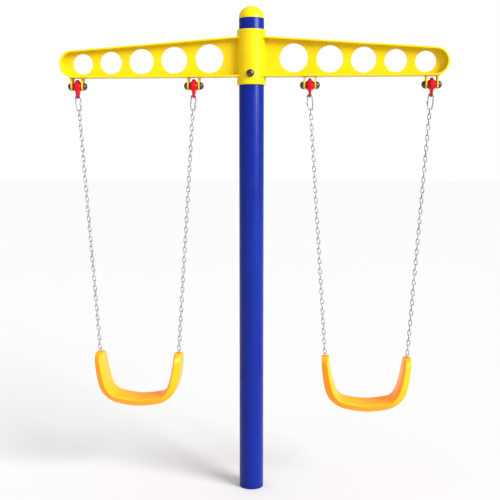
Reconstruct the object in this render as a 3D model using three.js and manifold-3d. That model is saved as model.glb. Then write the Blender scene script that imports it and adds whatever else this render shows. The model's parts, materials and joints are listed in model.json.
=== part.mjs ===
// Single-post double swing for a playground.
// A ground post carries a bolted collar with two perforated cantilever arms. Under each arm two
// clevises hold pivoting hangers, and a quick link and a chain run from each hanger to a seat.
// Units are millimetres. The origin is the centre of the post's lower end, +X runs along the
// right arm, +Z is up, and the seats swing along Y.
import * as THREE from 'three';
import { mergeVertices } from 'three/addons/utils/BufferGeometryUtils.js';
import { ParametricGeometry } from 'three/addons/geometries/ParametricGeometry.js';
import Module from 'manifold-3d';

const wasm = await Module();
wasm.setup();

// Driving dimensions -------------------------------------------------------------------------

const GAP = 0.3; // between pieces that touch
const RUNNING = 0.5; // looser gap between a pin and the link that turns on it

const POST_RADIUS = 57;
const POST_WALL = 3;
const POST_TOP = 2213;
// Bottom and top of the lengths that the post's tube is cut into, end to end
const POST_LENGTHS = { lower: [0, 700 - GAP], middle: [700, 1400 - GAP], upper: [1400, POST_TOP] };

const CAP_HEIGHT = 55;
const CAP_WALL = 3;
const SPIGOT_DEPTH = 22;

const COLLAR_BOTTOM = 1914.5;
const COLLAR_TOP = 2162;
const COLLAR_RADIUS = 64.5;
const COLLAR_BOLT_Z = 1963.5;
// Each band of the collar's ends as [distance from the end, radius]
const COLLAR_BANDS = [[0, 65], [1.5, 66.2], [12, 66.2], [13.5, 65.4], [22, 65.4], [24, 64.5]];

const ARM_BOTTOM = 1951;
const ARM_TIP = 891;
const ARM_TOP_AT_ROOT = 2128; // height of the top edge where x is ARM_ROOT
const ARM_ROOT = 100;
const ARM_TOP_SLOPE = 43 / 600; // fall of the top edge per unit of reach
const FLANGE_WIDTH = 80;
const FLANGE_THICKNESS = 8;
const WEB_THICKNESS = 8;
// Each hole of the web as [reach, height, radius]
const WEB_HOLES = [
  [194, 2036, 64.5], [358, 2030, 60.5], [511, 2025, 57.2], [655, 2020, 51], [788, 2015, 46.8],
];

const PIVOT_Z = 1912;
const EAR_INNER = 21.8; // from the clevis centre to an ear's inner face
const EAR_THICKNESS = 7;
const EAR_HALF_WIDTH = 26;
const EAR_END_RADIUS = 19.5;

const BOLT_RADIUS = 6;
const BOLT_HEAD_RADIUS = 10.4;
const BOLT_HEAD_HEIGHT = 7;
const BUSH_RADIUS = 10.5;

const BOLT_CAP_RADIUS = 18;
const CAP_DOME_HEIGHT = 17;
const CAP_RIM_HEIGHT = 2.5;
const CAP_HEADROOM = 1.5; // between a bolt's end and the ceiling of its cap
const COLLAR_CAP_SKIRT = 3; // long enough to meet the round collar all the way round the cap

const BOSS_HALF_LENGTH = 20.8;
const BOSS_RADIUS = 21;
const BOSS_END_RADIUS = 14.5;
const BOSS_FLAT_HALF = 12;
const HANGER_PLATE = 10.6;
const HANGER_TOP_RADIUS = 31.5;
const HANGER_EYE_DROP = 38;
const HANGER_EYE_OUTER = 17;
const HANGER_EYE_HOLE = 9;

const LINK_TOP_Z = 1871.5; // middle of the quick link's wire inside the hanger's eye
const LINK_WIRE = 3.5;
const LINK_BEND = 11.2; // radius of the wire's middle line at both ends
const LINK_REACH = 71.5; // between the middles of the wire at top and bottom
const LINK_OPENING = 3;
const LINK_NUT_RADIUS = 6.4;
const LINK_NUT_LENGTH = 18;
const LINK_NUT_DROP = 42;

const CHAIN_WIDTH = 18;
const CHAIN_WIRE = 5;
const CHAIN_LINK_LENGTH = 34;
const CHAIN_BAR_END = 20; // above the seat's pin, clear of the seat's rounded end as the seat tips

const SEAT_CENTRE = 542.5;
const SEAT_TOP = 650;
const SEAT_PIN_REACH = 191;
const SEAT_PIN_Z = 640;
const SEAT_PIN_RADIUS = 3.6;
const SEAT_PIN_HALF_LENGTH = 14;
const SEAT_SLOT_HALF = [4, 17];
const SEAT_SLOT_DEPTH = 10.8; // below the pin's middle line
// Right half of the seat's inner and outer outlines, from the top end to the middle
const SEAT_INSIDE = [[174, 650], [169, 606], [157, 543], [143, 496], [122, 461], [90, 445], [0, 434]];
const SEAT_OUTSIDE = [[208, 650], [207, 606], [199, 540], [183, 478], [149, 435], [97, 410], [0, 398]];
// The seat's section as [distance from the middle, share of the way from inside to outside]
const SEAT_SECTION = [[-47, 0], [-75, 0.27], [-52, 1], [52, 1], [75, 0.27], [47, 0]];
const SEAT_STEPS_PER_SPAN = 4;

const HANGER_REACHES = { outer: 817, inner: 268 };
const SIDES = { left: -1, right: 1 };

const ROUND = 36;
const SMALL_ROUND = 16;
const DOME_STEPS = 5;

// Finishes -----------------------------------------------------------------------------------

function finish(color, roughness, metalness) {
  return new THREE.MeshStandardMaterial({ color, roughness, metalness });
}

const FINISHES = {
  bluePaint: finish(0x2a3fa8, 0.3, 0.2),
  yellowPaint: finish(0xf7df12, 0.35, 0.1),
  redPaint: finish(0xc8102e, 0.35, 0.1),
  blackPlastic: finish(0x1d181c, 0.4, 0),
  steel: finish(0xb9bec2, 0.4, 0.9),
  nylon: finish(0x6e1420, 0.6, 0),
  yellowPlastic: finish(0xfcc520, 0.3, 0),
};

// Solids and booleans ------------------------------------------------------------------------

/** Welds a closed geometry's shared corners, drops its collapsed triangles and makes it a solid. */
function solidOf(geometry) {
  const bare = geometry.clone();
  bare.deleteAttribute('normal');
  bare.deleteAttribute('uv');
  const welded = mergeVertices(bare, 1e-4);
  const corners = welded.index.array;
  const triangles = [];
  for (let i = 0; i < corners.length; i += 3) {
    const [a, b, c] = corners.slice(i, i + 3);
    if (a !== b && b !== c && c !== a) {
      triangles.push(a, b, c);
    }
  }
  const vertProperties = new Float32Array(welded.attributes.position.array);
  const triVerts = new Uint32Array(triangles);
  return new wasm.Manifold(new wasm.Mesh({ numProp: 3, vertProperties, triVerts }));
}

/** The geometry of a solid, with its shared corners kept. */
function geometryOf(solid) {
  const mesh = solid.getMesh();
  const geometry = new THREE.BufferGeometry();
  geometry.setAttribute('position', new THREE.BufferAttribute(mesh.vertProperties, 3));
  geometry.setIndex(new THREE.BufferAttribute(mesh.triVerts, 1));
  geometry.computeVertexNormals();
  return geometry;
}

/** One geometry joined from several, less all the cutters. */
function carve(parts, cutters = []) {
  const body = parts.map(solidOf).reduce((whole, part) => whole.add(part));
  return geometryOf(cutters.map(solidOf).reduce((whole, cutter) => whole.subtract(cutter), body));
}

// Building blocks ----------------------------------------------------------------------------

/** A profile of [radius, height] points turned about the axis, which is left along Y. */
function turned(profile, segments = SMALL_ROUND) {
  const points = profile.map(([radius, height]) => new THREE.Vector2(radius, height));
  return new THREE.LatheGeometry(points, segments);
}

/** Turns a geometry's Y axis to point along X or along Z. */
const alongX = (geometry) => geometry.rotateZ(-Math.PI / 2);
const alongZ = (geometry) => geometry.rotateX(Math.PI / 2);

/** Angles from a dome's rim to its top. */
const QUARTER_TURN = Array.from({ length: DOME_STEPS + 1 }, (_, i) => (i / DOME_STEPS) * (Math.PI / 2));

/** A plain round rod about the Y axis, centred on the origin. */
function rod(radius, length, segments = SMALL_ROUND) {
  return new THREE.CylinderGeometry(radius, radius, length, segments);
}

/** Extrudes an outline drawn in (x, z), centred on the plane y = 0. */
function plateAcrossY(shape, thickness, curveSegments = 14) {
  const settings = { depth: thickness, bevelEnabled: false, curveSegments };
  const geometry = new THREE.ExtrudeGeometry(shape, settings);
  return geometry.translate(0, 0, -thickness / 2).rotateX(Math.PI / 2);
}

/** Extrudes an outline drawn in (y, z), centred on the plane x = 0. */
function plateAcrossX(shape, thickness, curveSegments = 8) {
  const settings = { depth: thickness, bevelEnabled: false, curveSegments };
  const geometry = new THREE.ExtrudeGeometry(shape, settings);
  const axes = [new THREE.Vector3(0, 1, 0), new THREE.Vector3(0, 0, 1), new THREE.Vector3(1, 0, 0)];
  return geometry.translate(0, 0, -thickness / 2).applyMatrix4(new THREE.Matrix4().makeBasis(...axes));
}

/** Adds a round hole to an outline. */
function pierce(shape, x, y, radius) {
  shape.holes.push(new THREE.Path().absarc(x, y, radius, 0, 2 * Math.PI, true));
}

const swing = new THREE.Group();

/** Puts a named piece into a group and returns it, so that it can be placed. */
function addPiece(group, name, geometry, material) {
  const piece = new THREE.Mesh(geometry, material);
  piece.name = name;
  group.add(piece);
  return piece;
}

// Post, cap and collar -----------------------------------------------------------------------

const collarBoltHole = () => rod(BOLT_RADIUS + GAP, 4 * POST_RADIUS).translate(0, 0, COLLAR_BOLT_Z);

/** One length of the post's tube, open at both ends. */
function postTube(bottom, top) {
  const bore = POST_RADIUS - POST_WALL;
  const wall = [[bore, bottom], [POST_RADIUS, bottom], [POST_RADIUS, top], [bore, top], [bore, bottom]];
  return carve([alongZ(turned(wall, ROUND))], [collarBoltHole()]);
}

/** Half dome with a spigot that plugs the post. */
function postCap() {
  const spigot = POST_RADIUS - POST_WALL - GAP;
  const bore = spigot - CAP_WALL;
  const ceiling = CAP_HEIGHT - CAP_WALL;
  const outer = QUARTER_TURN.map((a) => [POST_RADIUS * Math.cos(a), CAP_HEIGHT * Math.sin(a)]);
  const inner = QUARTER_TURN.map((a) => [bore * Math.cos(a), ceiling * Math.sin(a)]).reverse();
  const skirt = [[bore, -SPIGOT_DEPTH], [spigot, -SPIGOT_DEPTH], [spigot, 0]];
  return alongZ(turned([...inner, ...skirt, ...outer], ROUND)).translate(0, 0, POST_TOP + GAP);
}

/** Sleeve round the post with two raised bands at each end. */
function collarSleeve() {
  const bore = POST_RADIUS + GAP;
  const lower = COLLAR_BANDS.map(([rise, radius]) => [radius, COLLAR_BOTTOM + rise]);
  const upper = COLLAR_BANDS.map(([rise, radius]) => [radius, COLLAR_TOP - rise]).reverse();
  const profile = [[bore, COLLAR_BOTTOM], ...lower, ...upper, [bore, COLLAR_TOP], [bore, COLLAR_BOTTOM]];
  return carve([alongZ(turned(profile, ROUND))], [collarBoltHole()]);
}

for (const [name, [bottom, top]] of Object.entries(POST_LENGTHS)) {
  addPiece(swing, `post_tube_${name}`, postTube(bottom, top), FINISHES.bluePaint);
}
addPiece(swing, 'post_cap', postCap(), FINISHES.yellowPaint);
addPiece(swing, 'collar_sleeve', collarSleeve(), FINISHES.yellowPaint);

// Bolts and their dome caps ------------------------------------------------------------------

/** Through bolt along Y with its head and its nut as hexagons, each just outside the grip. */
function throughBolt(halfGrip) {
  const headMiddle = halfGrip + GAP + BOLT_HEAD_HEIGHT / 2;
  const head = () => rod(BOLT_HEAD_RADIUS, BOLT_HEAD_HEIGHT, 6);
  const shank = rod(BOLT_RADIUS, 2 * (halfGrip + BOLT_HEAD_HEIGHT));
  return carve([shank, head().translate(0, headMiddle, 0), head().translate(0, -headMiddle, 0)]);
}

/** Hollow dome over a bolt's end, opening down its axis, with a skirt below its seat. */
function domeCap(skirt = 0) {
  const hollow = BOLT_HEAD_RADIUS + 2 * GAP;
  const ceiling = BOLT_HEAD_HEIGHT + CAP_HEADROOM;
  const radius = BOLT_CAP_RADIUS;
  const rise = CAP_DOME_HEIGHT - CAP_RIM_HEIGHT;
  const dome = QUARTER_TURN.map((a) => [radius * Math.cos(a), CAP_RIM_HEIGHT + rise * Math.sin(a)]);
  return turned([[0, ceiling], [hollow, ceiling], [hollow, -skirt], [radius, -skirt], ...dome]);
}

const collarBolt = throughBolt(COLLAR_RADIUS);
addPiece(swing, 'collar_bolt', collarBolt, FINISHES.steel).position.z = COLLAR_BOLT_Z;

/** The cap over the collar bolt's rear end, coped to the round collar. */
function collarCap() {
  const cap = domeCap(COLLAR_CAP_SKIRT).translate(0, COLLAR_RADIUS + GAP, 0);
  const collarSurface = alongZ(rod(COLLAR_RADIUS + GAP, 3 * BOLT_CAP_RADIUS, 2 * ROUND));
  return carve([cap], [collarSurface]);
}

for (const [end, halfTurn] of [['front', Math.PI], ['rear', 0]]) {
  const cap = addPiece(swing, `collar_bolt_${end}_cap`, collarCap(), FINISHES.blackPlastic);
  cap.position.z = COLLAR_BOLT_Z;
  cap.rotation.x = halfTurn;
}

// Arms ---------------------------------------------------------------------------------------

// The arm's tip is the circle that touches the bottom edge, the top edge and the line x = ARM_TIP.
const topTilt = Math.atan(ARM_TOP_SLOPE);
const topHeightAt = (reach) => ARM_TOP_AT_ROOT - ARM_TOP_SLOPE * (reach - ARM_ROOT);
const tipRadius = (topHeightAt(ARM_TIP) - ARM_BOTTOM) / (1 + 1 / Math.cos(topTilt) - ARM_TOP_SLOPE);
const tip = { x: ARM_TIP - tipRadius, z: ARM_BOTTOM + tipRadius };
const tipEndAngle = Math.PI / 2 - topTilt;

/** The arm's outline, moved inwards all round, as lines, the tip's arc and a point on the root. */
function armEdge(path, inset, outwards) {
  const bottom = ARM_BOTTOM + inset;
  const top = topHeightAt(0) - inset / Math.cos(topTilt);
  if (outwards) {
    path.moveTo(0, bottom).lineTo(tip.x, bottom);
    path.absarc(tip.x, tip.z, tipRadius - inset, -Math.PI / 2, tipEndAngle, false);
    return path.lineTo(0, top);
  }
  path.lineTo(0, top).absarc(tip.x, tip.z, tipRadius - inset, tipEndAngle, -Math.PI / 2, true);
  return path.lineTo(0, bottom);
}

/** The arms end on the collar's round surface. */
const collarCope = () => alongZ(rod(COLLAR_RADIUS + GAP, 2 * COLLAR_TOP, 2 * ROUND));

function armWeb() {
  const outline = armEdge(new THREE.Shape(), FLANGE_THICKNESS + GAP, true);
  for (const [reach, height, radius] of WEB_HOLES) {
    pierce(outline, reach, height, radius);
  }
  return carve([plateAcrossY(outline, WEB_THICKNESS)], [collarCope()]);
}

/** The strip that runs along the top, round the tip and back along the bottom of the web. */
function armFlange() {
  const outline = armEdge(new THREE.Shape(), 0, true);
  armEdge(outline, FLANGE_THICKNESS, false);
  return carve([plateAcrossY(outline, FLANGE_WIDTH)], [collarCope()]);
}

// Hangers ------------------------------------------------------------------------------------

/** Plate in (y, z) about the pivot, welded under the arm and rounded round the bolt. */
function ear() {
  const top = ARM_BOTTOM - GAP - PIVOT_Z;
  const outline = new THREE.Shape();
  outline.moveTo(-EAR_HALF_WIDTH, top).lineTo(-EAR_END_RADIUS, 0);
  outline.absarc(0, 0, EAR_END_RADIUS, Math.PI, 2 * Math.PI, false);
  outline.lineTo(EAR_HALF_WIDTH, top);
  pierce(outline, 0, 0, BOLT_RADIUS + GAP);
  return plateAcrossX(outline, EAR_THICKNESS);
}

/** Outline of two circles, the lower one smaller, joined by their outer tangents. */
function pearOutline(topRadius, endRadius, drop) {
  const lean = Math.asin((topRadius - endRadius) / drop);
  const outline = new THREE.Shape();
  outline.absarc(0, 0, topRadius, -lean, Math.PI + lean, false);
  outline.absarc(0, -drop, endRadius, Math.PI + lean, 2 * Math.PI - lean, false);
  return outline;
}

/** Casting with a double-coned boss round the pivot and a pear-shaped plate with the eye. */
function hanger() {
  const ends = [[BOSS_END_RADIUS, BOSS_HALF_LENGTH], [BOSS_RADIUS, BOSS_FLAT_HALF]];
  const lower = ends.map(([radius, height]) => [radius, -height]);
  const bossProfile = [[0, -BOSS_HALF_LENGTH], ...lower, ...ends.slice().reverse(), [0, BOSS_HALF_LENGTH]];
  const plate = pearOutline(HANGER_TOP_RADIUS, HANGER_EYE_OUTER, HANGER_EYE_DROP);
  pierce(plate, 0, -HANGER_EYE_DROP, HANGER_EYE_HOLE);
  const bore = alongX(rod(BUSH_RADIUS + GAP, 3 * BOSS_HALF_LENGTH));
  return carve([alongX(turned(bossProfile)), plateAcrossX(plate, HANGER_PLATE)], [bore]);
}

/** Bush between the ears, on which the hanger turns. */
function bush() {
  const half = EAR_INNER - GAP;
  const bore = BOLT_RADIUS + GAP;
  const wall = [[bore, -half], [BUSH_RADIUS, -half], [BUSH_RADIUS, half], [bore, half], [bore, -half]];
  return alongX(turned(wall));
}

// Quick links and chains ---------------------------------------------------------------------

/** Middle line of the quick link's wire: an oval in (x, z), open for the nut on one side. */
class LinkLine extends THREE.Curve {
  constructor(nutSide) {
    super();
    this.nutSide = nutSide;
    this.straight = LINK_REACH - 2 * LINK_BEND;
    this.bend = Math.PI * LINK_BEND;
    this.start = LINK_NUT_DROP - LINK_BEND - LINK_OPENING / 2;
    this.whole = 2 * (this.straight + this.bend) - LINK_OPENING;
  }

  /** Goes up the nut side, over the top, down the other side, round the bottom and up again. */
  getPoint(t, target = new THREE.Vector3()) {
    const low = -LINK_BEND - this.straight; // where the bottom bend begins
    // Each leg as [its length, the point at a distance along it]
    const legs = [
      [this.start, (s) => [LINK_BEND, s - this.start - LINK_BEND]],
      [this.bend, (s) => [LINK_BEND * Math.cos(s / LINK_BEND), LINK_BEND * (Math.sin(s / LINK_BEND) - 1)]],
      [this.straight, (s) => [-LINK_BEND, -LINK_BEND - s]],
      [this.bend, (s) => [-LINK_BEND * Math.cos(s / LINK_BEND), low - LINK_BEND * Math.sin(s / LINK_BEND)]],
      [Infinity, (s) => [LINK_BEND, low + s]],
    ];
    let along = t * this.whole;
    let leg = 0;
    while (along > legs[leg][0]) {
      along -= legs[leg][0];
      leg += 1;
    }
    const [x, z] = legs[leg][1](along);
    return target.set(this.nutSide * x, 0, z);
  }
}

function quickLink(nutSide) {
  const section = new THREE.Shape().absarc(0, 0, LINK_WIRE, 0, 2 * Math.PI, false);
  const settings = { extrudePath: new LinkLine(nutSide), steps: 36, curveSegments: 3 };
  return new THREE.ExtrudeGeometry(section, settings);
}

/** Hexagon sleeve over the quick link's opening, centred on its own middle. */
function linkNut() {
  const turns = Array.from({ length: 6 }, (_, i) => i * (Math.PI / 3));
  const hexagon = new THREE.Shape(turns.map(
    (a) => new THREE.Vector2(LINK_NUT_RADIUS * Math.cos(a), LINK_NUT_RADIUS * Math.sin(a)),
  ));
  pierce(hexagon, 0, 0, LINK_WIRE + GAP);
  const settings = { depth: LINK_NUT_LENGTH, bevelEnabled: false, curveSegments: 8 };
  return new THREE.ExtrudeGeometry(hexagon, settings).translate(0, 0, -LINK_NUT_LENGTH / 2);
}

/** One chain link in (y, z), hanging down from its top. */
function chainLink(top) {
  const half = CHAIN_WIDTH / 2;
  const straight = CHAIN_LINK_LENGTH - CHAIN_WIDTH;
  const oval = (path, radius, clockwise) => {
    const ends = clockwise ? [0, -Math.PI] : [0, Math.PI];
    path.absarc(0, top - half - (clockwise ? straight : 0), radius, ends[0], ends[1], clockwise);
    return path.absarc(0, top - half - (clockwise ? 0 : straight), radius, ends[1], 2 * ends[1], clockwise);
  };
  const outline = oval(new THREE.Shape(), half, false);
  outline.holes.push(oval(new THREE.Path(), half - CHAIN_WIRE, true));
  return plateAcrossX(outline, CHAIN_WIRE, 4);
}

/** The space of a hanging chain: a cross-shaped bar between its first and its last link. */
function chain(length) {
  const firstTop = -(LINK_REACH - LINK_WIRE) + CHAIN_WIRE + 2 * RUNNING;
  const lastBottom = -length - SEAT_PIN_RADIUS - RUNNING - CHAIN_WIRE;
  const barTop = firstTop - CHAIN_LINK_LENGTH + CHAIN_WIRE / 2;
  const barBottom = -length + CHAIN_BAR_END;
  const barLength = barTop - barBottom;
  const barMiddle = (barTop + barBottom) / 2;
  const bar = (x, y) => new THREE.BoxGeometry(x, y, barLength).translate(0, 0, barMiddle);
  const links = [chainLink(firstTop), chainLink(lastBottom + CHAIN_LINK_LENGTH)];
  return carve([...links, bar(CHAIN_WIDTH, CHAIN_WIRE), bar(CHAIN_WIRE, CHAIN_WIDTH)]);
}

// Seats --------------------------------------------------------------------------------------

/** Spline from the left top end to the right one through a mirrored half outline. */
function seatEdge(half) {
  const right = half.map(([x, z]) => new THREE.Vector2(x, z));
  const left = half.slice(0, -1).map(([x, z]) => new THREE.Vector2(-x, z));
  return new THREE.SplineCurve([...left, ...right.reverse()]);
}

/** U-shaped seat with bevelled front and rear edges and a slot and a pin hole in each end. */
function seat() {
  const inside = seatEdge(SEAT_INSIDE);
  const outside = seatEdge(SEAT_OUTSIDE);
  const spans = 2 * (SEAT_INSIDE.length - 1);
  const surface = (u, v, target) => {
    const station = v * spans;
    const fromEnd = Math.min(station, spans - station, 1);
    const archTurn = fromEnd * (Math.PI / 2);
    const along = fromEnd < 1 ? 1 - Math.cos(archTurn) : Math.min(station, spans - station);
    const t = (station < spans / 2 ? along : spans - along) / spans;
    const corner = Math.round(u * SEAT_SECTION.length) % SEAT_SECTION.length;
    const [depth, share] = SEAT_SECTION[corner];
    const point = inside.getPoint(t).lerp(outside.getPoint(t), share);
    target.set(point.x, depth * Math.sin(archTurn), point.y);
  };
  const shell = new ParametricGeometry(surface, SEAT_SECTION.length, spans * SEAT_STEPS_PER_SPAN);
  const [slotX, slotY] = SEAT_SLOT_HALF;
  const slotTop = SEAT_TOP + SEAT_SLOT_DEPTH;
  const slotBottom = SEAT_PIN_Z - SEAT_SLOT_DEPTH;
  const cutters = [-1, 1].flatMap((side) => [
    new THREE.BoxGeometry(2 * slotX, 2 * slotY, slotTop - slotBottom)
      .translate(side * SEAT_PIN_REACH, 0, (slotTop + slotBottom) / 2),
    alongX(rod(SEAT_PIN_RADIUS + GAP, 2 * (SEAT_PIN_HALF_LENGTH + GAP)))
      .translate(side * SEAT_PIN_REACH, 0, SEAT_PIN_Z),
  ]);
  return carve([shell], cutters);
}

// Both swings --------------------------------------------------------------------------------

const earGeometry = ear();
const boltGeometry = alongX(throughBolt(EAR_INNER + EAR_THICKNESS));
const boltCapGeometry = alongX(domeCap());
const hangerGeometry = hanger();
const bushGeometry = bush();
const nutGeometry = linkNut();
const seatGeometry = seat();
const seatPinGeometry = alongX(rod(SEAT_PIN_RADIUS, 2 * SEAT_PIN_HALF_LENGTH));
const arms = { web: armWeb(), flange: armFlange() };

/** The clevis under the arm, its bolt and caps, and the hanger that turns in it. */
function addHanger(label, clevis) {
  for (const [end, direction] of [['near', -1], ['far', 1]]) {
    const middle = direction * (EAR_INNER + EAR_THICKNESS / 2);
    addPiece(clevis, `${label}_${end}_ear`, earGeometry, FINISHES.yellowPaint).position.x = middle;
    const cap = addPiece(clevis, `${label}_${end}_cap`, boltCapGeometry, FINISHES.blackPlastic);
    cap.position.x = direction * (EAR_INNER + EAR_THICKNESS + GAP);
    cap.rotation.z = direction < 0 ? Math.PI : 0;
  }
  addPiece(clevis, `${label}_pivot_bolt`, boltGeometry, FINISHES.steel);
  addPiece(clevis, `${label}_bush`, bushGeometry, FINISHES.nylon);
  addPiece(clevis, `${label}_hanger`, hangerGeometry, FINISHES.redPaint);
}

/** The quick link, its nut and the chain, leaning in line from the hanger's eye to the seat. */
function addChain(label, from, to, nutSide) {
  const line = to.clone().sub(from);
  const hanging = new THREE.Group();
  hanging.position.copy(from);
  hanging.rotation.y = -Math.asin(line.x / line.length());
  swing.add(hanging);
  addPiece(hanging, `${label}_quick_link`, quickLink(nutSide), FINISHES.steel);
  const nut = addPiece(hanging, `${label}_link_nut`, nutGeometry, FINISHES.steel);
  nut.position.set(nutSide * LINK_BEND, 0, -LINK_NUT_DROP);
  addPiece(hanging, `${label}_chain`, chain(line.length()), FINISHES.steel);
}

for (const [side, sign] of Object.entries(SIDES)) {
  const arm = new THREE.Group();
  arm.rotation.z = sign < 0 ? Math.PI : 0;
  swing.add(arm);
  addPiece(arm, `${side}_arm_web`, arms.web, FINISHES.yellowPaint);
  addPiece(arm, `${side}_arm_flange`, arms.flange, FINISHES.yellowPaint);

  for (const [place, reach] of Object.entries(HANGER_REACHES)) {
    const label = `${side}_${place}`;
    const clevis = new THREE.Group();
    clevis.position.set(reach, 0, PIVOT_Z);
    arm.add(clevis);
    addHanger(label, clevis);
    const pinReach = SEAT_CENTRE + Math.sign(reach - SEAT_CENTRE) * SEAT_PIN_REACH;
    const eye = new THREE.Vector3(sign * reach, 0, LINK_TOP_Z);
    const pin = new THREE.Vector3(sign * pinReach, 0, SEAT_PIN_Z);
    addChain(label, eye, pin, -sign);
    addPiece(swing, `${label}_seat_pin`, seatPinGeometry, FINISHES.steel).position.copy(pin);
  }

  addPiece(swing, `${side}_seat`, seatGeometry, FINISHES.yellowPlastic).position.x = sign * SEAT_CENTRE;
}

export default swing;
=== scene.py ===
import json
from math import pi, radians

import bmesh
import bpy
import numpy as np
from mathutils import Matrix, Vector


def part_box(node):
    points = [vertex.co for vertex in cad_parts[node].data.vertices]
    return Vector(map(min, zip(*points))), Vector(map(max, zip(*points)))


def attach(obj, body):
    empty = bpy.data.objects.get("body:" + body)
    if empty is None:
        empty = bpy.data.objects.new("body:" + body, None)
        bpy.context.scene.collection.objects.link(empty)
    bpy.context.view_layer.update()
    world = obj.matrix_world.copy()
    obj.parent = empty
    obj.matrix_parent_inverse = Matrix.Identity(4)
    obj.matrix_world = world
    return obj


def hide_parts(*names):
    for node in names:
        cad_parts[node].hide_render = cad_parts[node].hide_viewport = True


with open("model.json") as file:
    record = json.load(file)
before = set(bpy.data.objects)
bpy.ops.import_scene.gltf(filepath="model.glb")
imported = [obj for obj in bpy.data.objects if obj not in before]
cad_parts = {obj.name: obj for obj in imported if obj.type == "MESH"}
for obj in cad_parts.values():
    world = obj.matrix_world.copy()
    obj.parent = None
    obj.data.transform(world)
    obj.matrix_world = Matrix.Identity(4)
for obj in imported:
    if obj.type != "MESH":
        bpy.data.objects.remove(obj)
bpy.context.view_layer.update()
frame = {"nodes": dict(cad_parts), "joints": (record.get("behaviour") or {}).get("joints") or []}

# A post with an arm on each side. A U-shaped seat hangs from each arm on two chains.
#
# Shapes are worked out in millimetres and become metres when their mesh is made. A shape is a
# "shell": an array of points and a list of faces. Most pieces are made once about the origin
# and put in place by a matrix that moves the mesh, so every object stays at the origin.

MM = 0.001
GAP = 0.3  # between touching CAD pieces
SIDES = {"left": -1, "right": 1}
PLACES = ("outer", "inner")
HINGES = {joint["name"]: Vector(joint["pos_m"]) / MM for joint in frame["joints"]}


def corners(node):
    """A CAD node's lowest and highest corner, in millimetres."""
    return [Vector(corner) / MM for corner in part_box(node)]


# Sizes ------------------------------------------------------------------------------------------

POST_RADIUS = corners("post_tube_upper")[1].x
POST_LENGTHS = ["post_tube_lower", "post_tube_middle", "post_tube_upper"]
POST_WALL = 3
POST_TOP = corners("post_tube_upper")[1].z
POST_EDGE = 0.8  # rounding of the rims of the tube and the dome's lip
DOME_TOP = corners("post_cap")[1].z
DOME_LIP = 0.5  # how far the dome's foot stands out from the post
DOME_LIP_HEIGHT = 5

COLLAR_BOTTOM = corners("collar_sleeve")[0].z
COLLAR_TOP = corners("collar_sleeve")[1].z
COLLAR_RADIUS = 64.5
# Each band of the collar's ends as [distance from the end, radius]
COLLAR_BANDS = [[0, 63.6], [1.8, 66.2], [12, 66.2], [13, 65.2], [22, 65.4], [23.5, 64.5]]
COLLAR_EDGE = 0.9
COLLAR_BOLT_Z = sum(corners("collar_bolt"), Vector()).z / 2

ARM_BOTTOM = corners("right_arm_flange")[0].z
ARM_TIP = corners("right_arm_flange")[1].x
ARM_ROOT = 100
ARM_TOP_AT_ROOT = 2128
ARM_TOP_SLOPE = 43 / 600
FLANGE_WIDTH = 80
FLANGE_THICKNESS = 8
FLANGE_EDGE = 2.2  # rounding of the strip's four edges
WEB_THICKNESS = 8
WEB_EDGE = 1.2
# Each hole of the web as [reach, height, radius]
WEB_HOLES = [
    [194, 2036, 64.5], [358, 2030, 60.5], [511, 2025, 57.2], [655, 2020, 51], [788, 2015, 46.8],
]
COLLAR_TUCK = 1  # how far the web reaches into the collar
COPE_TUCK = 0.5  # the same for the strip
COPE_START = 6  # how far from the collar the strip is still square
WELD_RADIUS = 3.2
EAR_WELD_RADIUS = 2.6
WELD_PITCH = 4.5  # from ripple to ripple
WELD_RIPPLE = 0.10  # share of the radius
WELD_ROUGHNESS = 0.03
WELD_SEAT = 1  # how far a bead's middle line stands off the corner that it fills
COLLAR_WELD_SEAT = 0.6
EDGE_WELD_SEAT = 0.5
EAR_WELD_SEAT = 0.8

EAR_INNER = 21.8
EAR_THICKNESS = 7
EAR_HALF_WIDTH = 26
EAR_END_RADIUS = 19.5
EAR_EDGE = 1.2

BOLT_CAP_RADIUS = 18
CAP_DOME_HEIGHT = 17
CAP_RIM_HEIGHT = 2.5
CAP_RIM_EDGE = 0.5
CAP_SHOULDER = [0.7, 0.6]  # the step in from the rim to the dome, and its rise
COLLAR_CAP_SKIRT = 3  # what reaches back from a cap's seat to the round collar

BOSS_HALF_LENGTH = 20.8
BOSS_RADIUS = 21
BOSS_END_RADIUS = 14.5
BOSS_FLAT_HALF = 12
BOSS_BORE = 10.7
BOSS_EDGE = 1.5
HANGER_PLATE = 10.6
HANGER_EDGE = 2
HANGER_FILLET = [6.4, 15]  # along the bolt and away from it
HANGER_THICKENING = 2.8  # added to each face of the plate beside the boss
HANGER_THIN_BEYOND = 40  # height above or below the pivot at which that has died out
HANGER_TOP_RADIUS = 31.5
HANGER_EYE_DROP = 38
HANGER_EYE_OUTER = 17
HANGER_EYE_HOLE = 9
HANGER_EYE_FLARE = 2
HANGER_EYE_CUT = 6  # half length of the hole's cutter

LINK_WIRE = 3.5
LINK_TOP_BEND = 11.2
LINK_END_BEND = 9
LINK_REACH = 71.5
LINK_TAPER_START = 45
LINK_TAPER_ROUNDING = 12
LINK_FOOT_TURN = 1.25  # half the foot's bend, in radians
LINK_STEP = 0.3  # between rings of points on the thread
LINK_COARSE = 6  # steps between rings elsewhere
LINK_NUT_DROP = 42
LINK_NUT_LENGTH = 18
LINK_NUT_RADIUS = 6.4
LINK_NUT_CHAMFER = [1.2, 0.6, 0.25, 0]  # distances from an end where the cone is worked out
LINK_NUT_CONE = [0.2, 1.6]  # the cone's inset at the end, and its slope
LINK_NUT_CLEARANCE = 0.1
THREAD_PITCH = 1.25
THREAD_LENGTH = 7
THREAD_DEPTH = 0.35

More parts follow.
